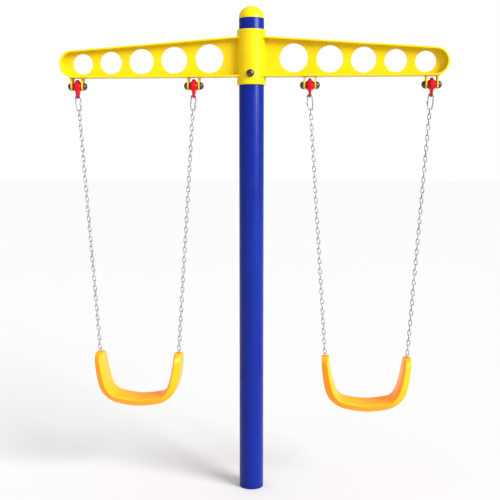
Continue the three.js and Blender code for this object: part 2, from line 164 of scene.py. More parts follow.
CHAIN_WIRE = 5
CHAIN_WIDTH = 18
CHAIN_LINKS = 49
CHAIN_LINK_LENGTH = 34
CHAIN_PLAY = 0.5  # between the quick link's wire and the first link's
CHAIN_END_DROP = 3.8  # from the seat pin's middle line down to the last link's wire
CHAIN_TWIST = 5  # most that a link turns about the chain, in degrees

SEAT_CENTRE = 542.5
SEAT_PIN_REACH = 191
SEAT_PIN_Z = 640
SEAT_SLOT_HALF = [4, 17]
SEAT_SLOT_DEPTH = 10.8
SEAT_INSIDE = [[174, 650], [169, 606], [157, 543], [143, 496], [122, 461], [90, 445], [0, 434]]
SEAT_OUTSIDE = [[208, 650], [207, 606], [199, 540], [183, 478], [149, 435], [97, 410], [0, 398]]
# The seat's section as [distance from the middle, share of the way from inside to outside]
SEAT_SECTION = [[-47, 0], [-74, 0.22], [-75, 0.30], [-54, 1], [54, 1], [75, 0.30], [74, 0.22], [47, 0]]
SEAT_RIDGE = 0.26  # the ridge's share in that section
SEAT_RIDGE_UNDER_PAN = 0.18
SEAT_RIDGE_UPRIGHT = 0.27
SEAT_CORNER = [80, 150]  # reach over which the ridge goes from one to the other
SEAT_WALL = 40
SEAT_ROUNDING = 2.6
SEAT_CROWN = 2  # how far the rims of the rounded ends drop below their middle
SEAT_RECESS = 1.6
SEAT_RECESS_HALF = 40  # front to rear
SEAT_RECESS_REACH = 105
SEAT_RECESS_BLEND = [14, 5]  # over which the hollow fades, along the seat and across it

ROUND = 128  # sides of the post, the collar and the hangers
SMALL_ROUND = 64  # sides of the bolt caps
FLOOR_REACH = 40  # metres
FLOOR_SHADE = 0.56

# Camera, light and floor ------------------------------------------------------------------------

camera = bpy.data.objects.new("camera", bpy.data.cameras.new("camera"))
camera.data.lens = 61.2
camera.location = (0.3344, -3.9599, 1.618)
camera.rotation_euler = Vector((-0.0853, 0.9895, -0.1168)).to_track_quat("-Z", "Y").to_euler()
bpy.context.scene.collection.objects.link(camera)
bpy.context.scene.camera = camera
bpy.context.scene.view_settings.view_transform = "Standard"


def white_room(light, mirrored):
    """An even white surround that lights with one strength and shows in glossy paint with another."""
    world = bpy.data.worlds.new("white room")
    world.use_nodes = True
    nodes, links = world.node_tree.nodes, world.node_tree.links
    nodes["Background"].inputs["Color"].default_value = (1, 1, 1, 1)
    rays = nodes.new("ShaderNodeLightPath")
    choose = nodes.new("ShaderNodeMapRange")
    choose.inputs["To Min"].default_value = light
    choose.inputs["To Max"].default_value = mirrored
    links.new(rays.outputs["Is Glossy Ray"], choose.inputs["Value"])
    links.new(choose.outputs["Result"], nodes["Background"].inputs["Strength"])
    bpy.context.scene.world = world


def add_key(azimuth, elevation, strength, spread):
    """A far, broad lamp; azimuth is to the right of the front, all angles are in degrees."""
    lamp = bpy.data.lights.new("key lamp", "SUN")
    lamp.energy = strength
    lamp.angle = radians(spread)
    key = bpy.data.objects.new("key lamp", lamp)
    towards = Vector((0, -1, 0))
    towards.rotate(Matrix.Rotation(radians(-elevation), 3, "X"))
    towards.rotate(Matrix.Rotation(radians(azimuth), 3, "Z"))
    key.location = 6 * towards
    key.rotation_euler = (-towards).to_track_quat("-Z", "Y").to_euler()
    bpy.context.scene.collection.objects.link(key)


white_room(light=1.0, mirrored=0.3)
add_key(azimuth=56, elevation=26, strength=5.6, spread=34)


# Shells -----------------------------------------------------------------------------------------

def grid_faces(rows, columns, closed_rows=False, closed_columns=True):
    """Quads between neighbours of a grid of points, numbered row by row."""
    row = np.arange(rows if closed_rows else rows - 1)[:, None]
    column = np.arange(columns if closed_columns else columns - 1)[None, :]
    next_row, next_column = (row + 1) % rows, (column + 1) % columns
    quads = [row * columns + column, row * columns + next_column,
             next_row * columns + next_column, next_row * columns + column]
    return np.stack(quads, axis=-1).reshape(-1, 4).tolist()


def grid_shell(points, closed_rows=False):
    """A grid of points as a shell whose columns close. Open ends get one face each."""
    rows, columns, _ = points.shape
    faces = grid_faces(rows, columns, closed_rows)
    if not closed_rows:
        faces += [list(range(columns))[::-1], list(range((rows - 1) * columns, rows * columns))]
    return points.reshape(-1, 3), faces


def soften(outline, radius, steps=5, closed=True):
    """Rounds each corner by a parabola that leaves its two sides at most radius from it."""
    outline = np.asarray(outline, float)
    back = np.roll(outline, 1, axis=0) - outline
    ahead = np.roll(outline, -1, axis=0) - outline
    back_length = np.linalg.norm(back, axis=1, keepdims=True)
    ahead_length = np.linalg.norm(ahead, axis=1, keepdims=True)
    cut = np.minimum(radius, 0.45 * np.minimum(back_length, ahead_length))
    start = outline + back / back_length * cut
    stop = outline + ahead / ahead_length * cut
    t = np.linspace(0, 1, steps)[None, :, None]
    rounded = (1 - t) ** 2 * start[:, None] + 2 * t * (1 - t) * outline[:, None] + t ** 2 * stop[:, None]
    if closed:
        return rounded.reshape(-1, 2)
    return np.vstack([outline[:1], rounded[1:-1].reshape(-1, 2), outline[-1:]])


def smooth_step(values):
    """Goes smoothly from 0 to 1 with values, which are held between those."""
    values = np.clip(values, 0, 1)
    return values ** 2 * (3 - 2 * values)


def ring(sides):
    """Angles evenly round a circle."""
    return np.arange(sides) * (2 * pi / sides)


def turn(profile, sides=96, ring_profile=False):
    """Turns [radius, height] points about Z: (radius cos a, radius sin a, height)."""
    profile = np.asarray(profile, float)
    angle = ring(sides)[None, :]
    radius, height = profile[:, :1], profile[:, 1:]
    points = np.stack([radius * np.cos(angle), radius * np.sin(angle), height + 0 * angle], axis=-1)
    return grid_shell(points, closed_rows=ring_profile)


def carry(path, section, across, closed=False):
    """Carries a section along a flat path. Its first number is measured along across, which is
    square to the path's plane, and its second along across x direction of travel."""
    path, section, across = (np.asarray(each, float) for each in (path, section, across))
    if closed:
        travel = np.roll(path, -1, axis=0) - np.roll(path, 1, axis=0)
    else:
        travel = np.gradient(path, axis=0)
    travel /= np.linalg.norm(travel, axis=1, keepdims=True)
    normal = np.cross(across, travel)
    section = np.broadcast_to(section, (len(path),) + section.shape[-2:])
    points = path[:, None] + section[..., :1] * across + section[..., 1:] * normal[:, None]
    return grid_shell(points, closed_rows=closed)


def tube(path, radius, across, sides=12, closed=False):
    """Carries a circle along a flat path; the radius may differ from point to point."""
    circle = np.stack([np.cos(ring(sides)), np.sin(ring(sides))], axis=-1)
    radii = np.broadcast_to(radius, len(path))[:, None, None]
    return carry(path, radii * circle, across, closed)


def evenly(path, step):
    """The path's points set again, evenly spaced, with each length of travel."""
    path = np.asarray(path, float)
    lengths = np.concatenate([[0], np.cumsum(np.linalg.norm(np.diff(path, axis=0), axis=1))])
    travel = np.linspace(0, lengths[-1], max(int(lengths[-1] / step), 2))
    return np.stack([np.interp(travel, lengths, path[:, axis]) for axis in range(3)], axis=-1), travel


def weld(path, across, radius=WELD_RADIUS, seed=1):
    """A rippled bead: a tube whose radius goes up and down once every WELD_PITCH."""
    path, travel = evenly(path, WELD_PITCH / 4)
    wobble = np.random.default_rng(seed).normal(0, WELD_ROUGHNESS, len(path))
    ripple = 1 + WELD_RIPPLE * np.abs(np.sin(travel * pi / WELD_PITCH)) + wobble
    ends = np.clip(np.minimum(travel, travel[-1] - travel) / radius, 0.25, 1) ** 0.5
    return tube(path, radius * ripple * ends, across, 8)


# Meshes and pieces ------------------------------------------------------------------------------

def mesh_of(name, shells, crease=32):
    """One mesh in metres from closed shells: doubles merged, faces outward, smooth but for edges
    sharper than crease degrees."""
    whole = bmesh.new()
    for points, faces in shells:
        part = bpy.data.meshes.new("shell")
        part.from_pydata(points * MM, [], faces)
        whole.from_mesh(part)
        bpy.data.meshes.remove(part)
    mesh = bpy.data.meshes.new(name)
    whole.to_mesh(mesh)
    whole.free()
    return tidied(mesh, crease)


def tidied(mesh, crease=32):
    """Merges a mesh's doubles, drops faces without area, turns faces outward and shades it."""
    work = bmesh.new()
    work.from_mesh(mesh)
    bmesh.ops.remove_doubles(work, verts=work.verts, dist=1e-6)
    bmesh.ops.dissolve_degenerate(work, dist=1e-7, edges=work.edges)
    bmesh.ops.recalc_face_normals(work, faces=work.faces)
    work.to_mesh(mesh)
    work.free()
    mesh.shade_smooth()
    mesh.set_sharp_from_angle(angle=radians(crease))
    return mesh


def settled(thing):
    """The mesh of an object with its curve filled or its modifiers applied; the object goes."""
    bpy.context.scene.collection.objects.link(thing)
    bpy.context.view_layer.update()
    depsgraph = bpy.context.evaluated_depsgraph_get()
    mesh = bpy.data.meshes.new_from_object(thing.evaluated_get(depsgraph))
    bpy.data.objects.remove(thing)
    return mesh


def plate(name, outlines, thickness, edge):
    """A flat plate in (x, y) about z = 0 with rounded edges; outlines inside others are holes."""
    curve = bpy.data.curves.new(name, "CURVE")
    curve.dimensions = "2D"
    curve.fill_mode = "BOTH"
    curve.extrude = (thickness / 2 - edge) * MM
    curve.bevel_depth = edge * MM
    curve.bevel_resolution = 2
    curve.offset = -edge * MM
    for outline in outlines:
        spline = curve.splines.new("POLY")
        spline.points.add(len(outline) - 1)
        flat = np.zeros((len(outline), 4))
        flat[:, :2] = np.asarray(outline) * MM
        flat[:, 3] = 1
        spline.points.foreach_set("co", flat.ravel())
        spline.use_cyclic_u = True
    return tidied(settled(bpy.data.objects.new(name, curve)))


def carved(mesh, *cutters):
    """The mesh less the volume of the cutters' meshes."""
    thing = bpy.data.objects.new(mesh.name, mesh)
    tools = [bpy.data.objects.new("cutter", cutter) for cutter in cutters]
    for tool in tools:
        bpy.context.scene.collection.objects.link(tool)
        cut = thing.modifiers.new("cut", "BOOLEAN")
        cut.object = tool
        cut.operation = "DIFFERENCE"
        cut.solver = "EXACT"
    result = settled(thing)
    for tool in tools:
        bpy.data.objects.remove(tool)
    return tidied(result)


def put(name, mesh, finish, body, nodes=(), move=Matrix(), flat=False):
    """Makes a piece from a copy of a mesh, moved by a matrix in millimetres, that rides on a body
    and stands for CAD nodes. A flat piece keeps its large faces' shading even."""
    placed = mesh.copy()
    placed.name = name
    metres = move.copy()
    metres.translation *= MM
    placed.transform(metres)
    placed.materials.clear()
    placed.materials.append(finish.material)
    piece = bpy.data.objects.new(name, placed)
    bpy.context.scene.collection.objects.link(piece)
    if flat:
        weighted = piece.modifiers.new("even shading", "WEIGHTED_NORMAL")
        weighted.keep_sharp = True
    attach(piece, body)
    if nodes:
        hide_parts(*nodes)
    return piece


# Finishes ---------------------------------------------------------------------------------------

class Finish:
    """A procedural material on Object coordinates and the record's slot that it belongs to."""

    def __init__(self, name, slot, constants):
        self.slot = slot
        self.material = bpy.data.materials.new(name)
        self.material.use_nodes = True
        self.nodes = self.material.node_tree.nodes
        self.shader = self.nodes["Principled BSDF"]
        for socket, value in constants.items():
            self.shader.inputs[socket].default_value = value
        self.place = self.nodes.new("ShaderNodeTexCoord").outputs["Object"]

    def join(self, start, end):
        """Links one node's output to another's input."""
        self.material.node_tree.links.new(start, end)

    def noise(self, scale, detail=2.0, roughness=0.5):
        """Cloudy values about one half, with scale clouds to the metre."""
        clouds = self.nodes.new("ShaderNodeTexNoise")
        clouds.inputs["Scale"].default_value = scale
        clouds.inputs["Detail"].default_value = detail
        clouds.inputs["Roughness"].default_value = roughness
        self.join(self.place, clouds.inputs["Vector"])
        return clouds.outputs["Fac"]

    def grains(self, scale):
        """Flat-sided grains, each with one random value, with scale grains to the metre."""
        cells = self.nodes.new("ShaderNodeTexVoronoi")
        cells.inputs["Scale"].default_value = scale
        self.join(self.place, cells.inputs["Vector"])
        separate = self.nodes.new("ShaderNodeSeparateColor")
        self.join(cells.outputs["Color"], separate.inputs["Color"])
        return separate.outputs["Red"]

    def fitted(self, values, low, high, first, second):
        """Values from low to high, turned to go from first to second."""
        fit = self.nodes.new("ShaderNodeMapRange")
        ends = {"From Min": low, "From Max": high, "To Min": first, "To Max": second}
        for socket, number in ends.items():
            fit.inputs[socket].default_value = number
        self.join(values, fit.inputs["Value"])
        return fit.outputs["Result"]

    def vary_colour(self, ground, *layers):
        """Mixes colours over a ground colour. Each layer is (values, low, high, colour): its colour
        comes in as the values go from low to high."""
        below = None
        for values, low, high, colour in layers:
            mix = self.nodes.new("ShaderNodeMix")
            mix.data_type = "RGBA"
            self.join(self.fitted(values, low, high, 0, 1), mix.inputs["Factor"])
            first, second = [each for each in mix.inputs if each.type == "RGBA"]
            first.default_value = (*ground, 1)
            second.default_value = (*colour, 1)
            if below:
                self.join(below, first)
            below = [each for each in mix.outputs if each.type == "RGBA"][0]
        self.join(below, self.shader.inputs["Base Color"])

    def vary_roughness(self, values, low, high, smooth, rough):
        """Goes from smooth to rough as the values go from low to high."""
        self.join(self.fitted(values, low, high, smooth, rough), self.shader.inputs["Roughness"])

    def bump(self, *layers):
        """Bumps one over the other. Each layer is (values, height in millimetres)."""
        normal = None
        for values, height in layers:
            bump = self.nodes.new("ShaderNodeBump")
            bump.inputs["Distance"].default_value = height * MM
            self.join(values, bump.inputs["Height"])
            if normal:
                self.join(normal, bump.inputs["Normal"])
            normal = bump.outputs["Normal"]
        self.join(normal, self.shader.inputs["Normal"])


def powder_coat(name, slot, colour, worn, gloss=0.3):
    """Baked paint: an orange-peel skin, faint clouds of a second shade and uneven gloss."""
    coat = Finish(name, slot, {"Specular IOR Level": 0.14, "Coat Weight": 0.05, "Coat Roughness": 0.12})
    clouds = coat.noise(6, 4)
    specks = coat.noise(220, 3, 0.6)
    coat.vary_colour(colour, (clouds, 0.45, 0.75, worn), (specks, 0.62, 0.80, worn))
    coat.vary_roughness(coat.noise(14, 5), 0.35, 0.7, gloss, gloss + 0.14)
    coat.bump((coat.noise(260), 0.10), (coat.noise(28), 0.25))
    return coat


def moulded_plastic(name, slot):
    """Warm yellow plastic with cloudy pigment, a fine grain and faint sink marks."""
    shine = {"Specular IOR Level": 0.22, "Coat Weight": 0.04, "Coat Roughness": 0.25}
    plastic = Finish(name, slot, shine)
    clouds = plastic.noise(5, 4)
    specks = plastic.noise(160, 3, 0.7)
    plastic.vary_colour((0.98, 0.33, 0.003), (clouds, 0.45, 0.75, (0.95, 0.295, 0.003)),
                        (specks, 0.63, 0.82, (0.90, 0.265, 0.003)))
    plastic.vary_roughness(plastic.noise(11, 5), 0.35, 0.7, 0.28, 0.42)
    plastic.bump((plastic.noise(700), 0.05), (plastic.noise(18), 0.35))
    return plastic


def cap_plastic(name, slot):
    """Glossy near-black plastic."""
    plastic = Finish(name, slot, {"Specular IOR Level": 0.5, "Coat Weight": 0.5, "Coat Roughness": 0.08})
    plastic.vary_colour((0.014, 0.010, 0.016), (plastic.noise(90, 3), 0.45, 0.7, (0.022, 0.017, 0.024)))
    plastic.vary_roughness(plastic.noise(60, 3), 0.35, 0.7, 0.22, 0.36)
    plastic.bump((plastic.noise(900), 0.03))
    return plastic


def zinc_plating(name, slot):
    """Dull zinc in flat-sided grains of slightly different greys, with darker weathered clouds."""
    plating = Finish(name, slot, {"Metallic": 0.85})
    plating.vary_colour((0.47, 0.48, 0.50), (plating.grains(260), 0.3, 0.9, (0.36, 0.37, 0.39)),
                        (plating.noise(90, 5, 0.7), 0.5, 0.72, (0.22, 0.215, 0.22)))
    plating.vary_roughness(plating.noise(180, 4), 0.3, 0.7, 0.30, 0.52)
    plating.bump((plating.noise(500, 3), 0.05), (plating.noise(90, 3), 0.10))
    return plating


def bearing_plastic(name, slot):
    """Dull dark red plastic."""
    plastic = Finish(name, slot, {"Specular IOR Level": 0.4})
    plastic.vary_colour((0.16, 0.010, 0.016), (plastic.noise(80, 3), 0.4, 0.7, (0.12, 0.008, 0.012)))
    plastic.vary_roughness(plastic.noise(120, 3), 0.3, 0.7, 0.45, 0.6)
    plastic.bump((plastic.noise(600), 0.04))
    return plastic


yellow_paint = powder_coat("yellow powder coat", "yellow_paint",
                           (0.72, 0.49, 0.001), (0.67, 0.44, 0.001))
blue_paint = powder_coat("blue powder coat", "blue_paint",
                         (0.002, 0.013, 0.19), (0.002, 0.011, 0.15), 0.25)
red_paint = powder_coat("red powder coat", "red_paint",
                        (0.50, 0.002, 0.012), (0.41, 0.002, 0.009), 0.28)
seat_plastic = moulded_plastic("yellow moulded plastic", "yellow_plastic")
black_plastic = cap_plastic("black cap plastic", "black_plastic")
zinc = zinc_plating("galvanised zinc", "galvanised_steel")
nylon = bearing_plastic("bearing nylon", "bearing_nylon")


# Post, dome and collar --------------------------------------------------------------------------

def post_mesh():
    """A tube with small rounds at the rims of its wall."""
    wall = [[POST_RADIUS - POST_WALL, 0], [POST_RADIUS, 0], [POST_RADIUS, POST_TOP],
            [POST_RADIUS - POST_WALL, POST_TOP]]
    return mesh_of("post", [turn(soften(wall, POST_EDGE, 4), ROUND, ring_profile=True)])


def dome_mesh():
    """A dome, (R cos a, H sin a), on a straight lip that stands out from the post."""
    angle = np.linspace(0, pi / 2, 28)
    foot = POST_TOP + GAP
    spring = foot + DOME_LIP_HEIGHT
    lip = POST_RADIUS + DOME_LIP
    dome = np.stack([POST_RADIUS * np.cos(angle), spring + (DOME_TOP - spring) * np.sin(angle)], axis=-1)
    skirt = [[0, foot], [lip, foot], [lip, spring], [POST_RADIUS, spring]]
    skirt = soften(skirt, POST_EDGE, 4, closed=False)
    return mesh_of("dome", [turn(np.vstack([skirt, dome[1:]]), ROUND)])


def collar_mesh():
    """A sleeve round the post with a chamfer and two raised bands at each end."""
    bands = np.array(COLLAR_BANDS, float)
    lower = np.stack([bands[:, 1], COLLAR_BOTTOM + bands[:, 0]], axis=-1)
    upper = np.stack([bands[:, 1], COLLAR_TOP - bands[:, 0]], axis=-1)[::-1]
    inside = [[POST_RADIUS, COLLAR_TOP], [POST_RADIUS, COLLAR_BOTTOM]]
    profile = soften(np.vstack([lower, upper, inside]), COLLAR_EDGE, 4)
    return mesh_of("collar", [turn(profile, ROUND, ring_profile=True)], crease=40)


put("post", post_mesh(), blue_paint, "frame", POST_LENGTHS)
put("post_dome", dome_mesh(), yellow_paint, "frame", ["post_cap"])
put("collar", collar_mesh(), yellow_paint, "frame", ["collar_sleeve"])


# Bolt caps --------------------------------------------------------------------------------------

def bolt_cap_mesh(skirt=0):
    """A glossy dome on a short rim, about Z, with a flat foot skirt below z = 0."""
    angle = np.linspace(0, pi / 2, 14)
    step_in, step_up = CAP_SHOULDER
    radius, height = BOLT_CAP_RADIUS - step_in, CAP_RIM_HEIGHT + step_up
    rise = CAP_DOME_HEIGHT - CAP_RIM_HEIGHT - step_up
    rim = [[0, -skirt], [BOLT_CAP_RADIUS, -skirt], [BOLT_CAP_RADIUS, CAP_RIM_HEIGHT], [radius, height]]
    rim = soften(rim, CAP_RIM_EDGE, 4, closed=False)
    dome = np.stack([radius * np.cos(angle), height + rise * np.sin(angle)], axis=-1)
    return mesh_of("bolt cap", [turn(np.vstack([rim, dome[1:]]), SMALL_ROUND)])


collar_cap = bolt_cap_mesh(COLLAR_CAP_SKIRT)
for end, direction in (("front", -1), ("rear", 1)):
    seat_of_cap = Matrix.Translation((0, direction * COLLAR_RADIUS, COLLAR_BOLT_Z))
    put(f"collar_{end}_bolt_cap", collar_cap, black_plastic, "frame", [f"collar_bolt_{end}_cap"],
        seat_of_cap @ Matrix.Rotation(-direction * pi / 2, 4, "X"))


# Arms -------------------------------------------------------------------------------------------

TOP_TILT = np.arctan(ARM_TOP_SLOPE)


def top_height(reach):
    """Height of the arm's top edge at a distance from the post's middle."""
    return ARM_TOP_AT_ROOT - ARM_TOP_SLOPE * (reach - ARM_ROOT)


TIP_RADIUS = (top_height(ARM_TIP) - ARM_BOTTOM) / (1 + 1 / np.cos(TOP_TILT) - ARM_TOP_SLOPE)


def arm_outline(inset, root):
    """The arm's edge in (x, z) moved inwards by inset: along the bottom from the root, round the
    tip's circle and back along the sloping top."""
    angle = np.linspace(-pi / 2, pi / 2 - TOP_TILT, 48)
    radius = TIP_RADIUS - inset
    tip = np.stack([ARM_TIP - TIP_RADIUS + radius * np.cos(angle),
                    ARM_BOTTOM + TIP_RADIUS + radius * np.sin(angle)], axis=-1)
    top = top_height(root) - inset / np.cos(TOP_TILT)
    return np.vstack([[root, ARM_BOTTOM + inset], tip, [root, top]])


def in_upright_plane(points, depth=0.0):
    """(x, z) pairs as points on the plane y = depth."""
    points = np.asarray(points, float)
    return np.stack([points[:, 0], np.full(len(points), float(depth)), points[:, 1]], axis=-1)


ALONG_Y = (0, 1, 0)
ALONG_Z = (0, 0, 1)
UPRIGHT = Matrix.Rotation(pi / 2, 4, "X")  # turns a plate drawn in (x, y) to stand in (x, z)


def web_mesh():
    """The plate with five round holes, each finely divided."""
    angle = ring(120)
    holes = [np.stack([reach + radius * np.cos(angle), height + radius * np.sin(angle)], axis=-1)
             for reach, height, radius in WEB_HOLES]
    outline = arm_outline(FLANGE_THICKNESS, COLLAR_RADIUS - COLLAR_TUCK)
    return plate("web", [outline, *holes], WEB_THICKNESS, WEB_EDGE)


def flange_mesh():
    """The rounded strip carried round the web; both its ends are coped to the collar, where
    x = sqrt(R^2 - y^2)."""
    outline = arm_outline(FLANGE_THICKNESS / 2, 0)
    start, tip, stop = outline[:1], outline[1:-1], outline[-1:]
    path = in_upright_plane(np.vstack([start, start, tip, stop, stop]))
    path[1, 0] = path[-2, 0] = COLLAR_RADIUS + COPE_START
    path[-2, 2] -= ARM_TOP_SLOPE * path[-2, 0]
    half_width, half_depth = FLANGE_WIDTH / 2, FLANGE_THICKNESS / 2
    section = soften([[-half_width, -half_depth], [half_width, -half_depth],
                      [half_width, half_depth], [-half_width, half_depth]], FLANGE_EDGE, 5)
    points, faces = carry(path, section, ALONG_Y)
    end_rows = np.r_[0:len(section), len(points) - len(section):len(points)]
    cope = np.sqrt((COLLAR_RADIUS - COPE_TUCK) ** 2 - points[end_rows, 1] ** 2)
    is_top = points[end_rows, 2] > ARM_BOTTOM + TIP_RADIUS
    points[end_rows, 2] -= np.where(is_top, ARM_TOP_SLOPE * (cope - points[end_rows, 0]), 0)
    points[end_rows, 0] = cope
    return mesh_of("flange", [(points, faces)], crease=50)


def arm_welds_mesh():
    """Beads where the web meets the strip, and where web and strip meet the collar."""
    beads = []
    seam = arm_outline(FLANGE_THICKNESS + WELD_SEAT, COLLAR_RADIUS + WELD_SEAT)
    upright_reach = COLLAR_RADIUS + COLLAR_WELD_SEAT
    foot, head = ARM_BOTTOM + FLANGE_THICKNESS, top_height(COLLAR_RADIUS) - FLANGE_THICKNESS
    for depth in (-1, 1):
        offset = depth * (WEB_THICKNESS / 2 + WELD_SEAT)
        beads.append(weld(in_upright_plane(seam, offset), ALONG_Y, seed=depth + 3))
        upright = [[upright_reach, offset, foot], [upright_reach, offset, head]]
        beads.append(weld(upright, ALONG_Y, seed=depth + 6))
    half_turn = np.arcsin(FLANGE_WIDTH / 2 / COLLAR_RADIUS)
    angle = np.linspace(-half_turn, half_turn, 40)
    radius = COLLAR_RADIUS + WELD_SEAT
    around = np.stack([radius * np.cos(angle), radius * np.sin(angle)], axis=-1)
    bottom, top = np.full(len(angle), ARM_BOTTOM), top_height(around[:, 0])
    heights = [bottom - EDGE_WELD_SEAT, bottom + FLANGE_THICKNESS + EDGE_WELD_SEAT,
               top - FLANGE_THICKNESS - EDGE_WELD_SEAT, top + EDGE_WELD_SEAT]
    for seed, height in enumerate(heights):
        beads.append(weld(np.column_stack([around, height]), ALONG_Z, seed=seed + 10))
    return mesh_of("arm welds", beads, crease=70)


web, flange, arm_welds = web_mesh(), flange_mesh(), arm_welds_mesh()
ARM_TURN = {"left": Matrix.Rotation(pi, 4, "Z"), "right": Matrix()}
for side in SIDES:
    put(f"{side}_web", web, yellow_paint, "frame", [f"{side}_arm_web"],
        ARM_TURN[side] @ UPRIGHT, flat=True)
    put(f"{side}_flange", flange, yellow_paint, "frame", [f"{side}_arm_flange"],
        ARM_TURN[side], flat=True)
    put(f"{side}_arm_welds", arm_welds, yellow_paint, "frame", (), ARM_TURN[side])


# Hangers ----------------------------------------------------------------------------------------

PIVOT_Z = HINGES["right_outer_swing"].z


def ear_mesh():
    """A plate that narrows from its weld under the arm to a round end about the bolt."""
    top = ARM_BOTTOM - PIVOT_Z
    angle = np.linspace(pi, 2 * pi, 40)
    end = np.stack([EAR_END_RADIUS * np.cos(angle), EAR_END_RADIUS * np.sin(angle)], axis=-1)
    outline = np.vstack([[-EAR_HALF_WIDTH, top], end, [EAR_HALF_WIDTH, top]])
    return plate("ear", [outline], EAR_THICKNESS, EAR_EDGE)


def ear_weld_mesh():
    """A bead along both faces of an ear where it meets the arm."""
    top = ARM_BOTTOM - PIVOT_Z - EDGE_WELD_SEAT
    face = EAR_THICKNESS / 2 + EAR_WELD_SEAT
    lines = [[[x, -EAR_HALF_WIDTH, top], [x, EAR_HALF_WIDTH, top]] for x in (-face, face)]
    beads = [weld(line, ALONG_Z, EAR_WELD_RADIUS, seed) for seed, line in enumerate(lines)]
    return mesh_of("ear weld", beads, crease=70)


def pear_radius(angle):
    """Distance from the pivot to the plate's edge, for angles from straight down. The plate is
    the sweep of a circle that shrinks as its centre goes down from the pivot to the eye."""
    drop = np.linspace(0, HANGER_EYE_DROP, 120)[:, None]
    radius = HANGER_TOP_RADIUS + (HANGER_EYE_OUTER - HANGER_TOP_RADIUS) * drop / HANGER_EYE_DROP
    inside = radius ** 2 - (drop * np.sin(angle)) ** 2
    reach = drop * np.cos(angle) + np.sqrt(np.maximum(inside, 0))
    return np.where(inside > 0, reach, 0).max(axis=0)


def hanger_mesh():
    """A casting: at distance x along the bolt and angle a about it the radius is A(x) + B(x) p(a),
    where p is the plate's edge, B is 1 on the plate and 0 on the boss. A hollow quarter ellipse
    joins them and stops at the plate's edge where that comes first. The plate thins upwards and
    downwards from the pivot."""
    half = HANGER_PLATE / 2
    quarter = np.linspace(0, pi / 2, 10)
    fillet_along, fillet_out = HANGER_FILLET
    boss = soften([[BOSS_HALF_LENGTH, BOSS_BORE], [BOSS_HALF_LENGTH, BOSS_END_RADIUS],
                   [BOSS_FLAT_HALF, BOSS_RADIUS], [half + fillet_along, BOSS_RADIUS]],
                  BOSS_EDGE, 5, closed=False)
    fillet = np.stack([half + fillet_along * (1 - np.sin(quarter[1:])),
                       BOSS_RADIUS + fillet_out * (1 - np.cos(quarter[1:]))], axis=-1)
    edge = np.stack([half - HANGER_EDGE * (1 - np.cos(quarter)),
                     HANGER_EDGE * (np.sin(quarter) - 1)], axis=-1)
    x = np.concatenate([boss[:, 0], fillet[:, 0], edge[:, 0]])
    base = np.concatenate([boss[:, 1], fillet[:, 1], edge[:, 1]])
    on_plate = np.concatenate([np.zeros(len(boss) + len(fillet)), np.ones(len(edge))])
    x, base, on_plate = (np.concatenate([each, sign * each[::-1]])
                         for each, sign in ((x, -1), (base, 1), (on_plate, 1)))
    angle = ring(ROUND)
    plate_edge = pear_radius(angle)[None, :]
    radius = base[:, None] + on_plate[:, None] * plate_edge
    radius = np.where(on_plate[:, None] > 0, radius, np.minimum(radius, plate_edge - HANGER_EDGE))
    height = -radius * np.cos(angle)
    near_plate = np.clip(1 - (np.abs(x) - half) / fillet_along, 0, 1)[:, None]
    taper = smooth_step(1 - np.abs(height) / HANGER_THIN_BEYOND)
    thickened = x[:, None] + np.sign(x)[:, None] * HANGER_THICKENING * near_plate * taper
    points = np.stack([thickened, radius * np.sin(angle), height], axis=-1)
    body = mesh_of("hanger", [grid_shell(points, closed_rows=True)])
    across = np.linspace(-HANGER_EYE_CUT, HANGER_EYE_CUT, 13)
    flare = HANGER_EYE_HOLE + HANGER_EYE_FLARE * (np.abs(across) / half) ** 4
    cutter = mesh_of("eye", [turn(np.stack([flare, across], axis=-1), 48)])
    eye = Matrix.Translation((0, 0, -HANGER_EYE_DROP * MM))
    cutter.transform(eye @ Matrix.Rotation(pi / 2, 4, "Y"))
    return carved(body, cutter)


# Quick links ------------------------------------------------------------------------------------

def quick_link_mesh():
    """Round wire bent to an oval that narrows at its foot, with thread rings above the nut."""
    top = np.linspace(0, pi, 28)
    foot = np.linspace(-LINK_FOOT_TURN, LINK_FOOT_TURN, 20)
    foot_z = -LINK_REACH + LINK_END_BEND
    head = np.stack([LINK_TOP_BEND * np.cos(top), -LINK_TOP_BEND + LINK_TOP_BEND * np.sin(top)], axis=-1)
    bottom = np.stack([LINK_END_BEND * np.sin(foot), foot_z - LINK_END_BEND * np.cos(foot)], axis=-1)
    down = [head[-1], [-LINK_TOP_BEND, -LINK_TAPER_START], bottom[0]]
    down = soften(down, LINK_TAPER_ROUNDING, 8, closed=False)[1:-1]
    outline = np.vstack([head, down, bottom, down[::-1] * [-1, 1]])
    path, travel = evenly(in_upright_plane(np.vstack([outline, outline[:1]])), LINK_STEP)
    path, travel = path[:-1], travel[:-1]
    thread_top = -LINK_NUT_DROP + LINK_NUT_LENGTH / 2 + THREAD_LENGTH
    threaded = (path[:, 0] > 0) & (path[:, 2] < thread_top) & (path[:, 2] > -LINK_NUT_DROP)
    rings = THREAD_DEPTH * (1 + np.cos(travel * 2 * pi / THREAD_PITCH)) / 2
    keep = threaded | (np.arange(len(path)) % LINK_COARSE == 0)
    radius = (LINK_WIRE - np.where(threaded, rings, 0))[keep]
    return mesh_of("quick link", [tube(path[keep], radius, ALONG_Y, 14, closed=True)], crease=60)


